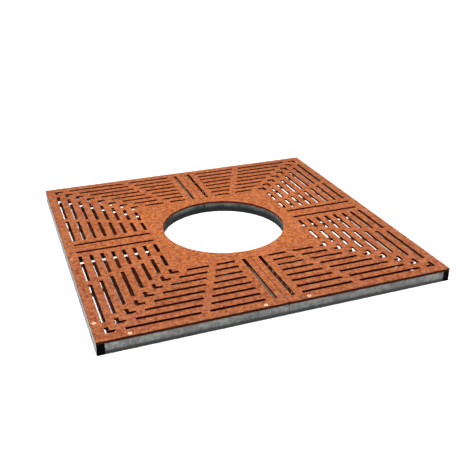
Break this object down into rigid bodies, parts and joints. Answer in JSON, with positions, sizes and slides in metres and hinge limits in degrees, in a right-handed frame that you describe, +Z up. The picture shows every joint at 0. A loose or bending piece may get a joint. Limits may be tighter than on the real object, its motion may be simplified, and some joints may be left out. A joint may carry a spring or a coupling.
{
  "type": "tree grate",
  "caption": "Square slotted weathering-steel tree grate in two halves on a galvanised tube frame, with a round ringed opening for the trunk.",
  "frame": {"origin": "centre of the grate's underside, on the ground", "axes": "+Z up, out of the ground; +X to the right, across the seam between the halves; -Y to the front"},
  "size_m": [1.5, 1.5, 0.058],
  "materials": {
    "weathering_steel": "mottled orange-brown rust patina, matt",
    "galvanised_steel": "hot-dip galvanised, patchy spangle",
    "black_plastic": "moulded polyethylene, satin",
    "stainless_steel": "bright turned stainless steel"
  },
  "bodies": {
    "left_half": {"left_top_plate": "weathering_steel", "left_side_rail": "galvanised_steel", "left_front_rail": "galvanised_steel", "left_back_rail": "galvanised_steel", "left_front_seam_rail": "galvanised_steel", "left_back_seam_rail": "galvanised_steel", "left_middle_rail": "galvanised_steel", "left_tree_ring": "galvanised_steel", "left_ring_lugs": "galvanised_steel", "left_front_end_cap": "black_plastic", "left_back_end_cap": "black_plastic", "left_edge_screws": "stainless_steel", "left_ring_screws": "stainless_steel", "left_rivet_nuts": "stainless_steel", "left_frame_welds": "galvanised_steel", "joining_bolts": "stainless_steel", "bolt_washers": "stainless_steel", "spacer_washers": "stainless_steel"},
    "right_half": {"right_top_plate": "weathering_steel", "right_side_rail": "galvanised_steel", "right_front_rail": "galvanised_steel", "right_back_rail": "galvanised_steel", "right_front_seam_rail": "galvanised_steel", "right_back_seam_rail": "galvanised_steel", "right_middle_rail": "galvanised_steel", "right_tree_ring": "galvanised_steel", "right_ring_lugs": "galvanised_steel", "right_front_end_cap": "black_plastic", "right_back_end_cap": "black_plastic", "right_edge_screws": "stainless_steel", "right_ring_screws": "stainless_steel", "right_rivet_nuts": "stainless_steel", "right_frame_welds": "galvanised_steel", "nut_washers": "stainless_steel", "joining_nuts": "stainless_steel"}
  },
  "joints": [
    {"name": "halves_apart", "type": "slide", "parent": "left_half", "child": "right_half", "axis": [1, 0, 0], "range_m": [0, 0.6]}
  ]
}
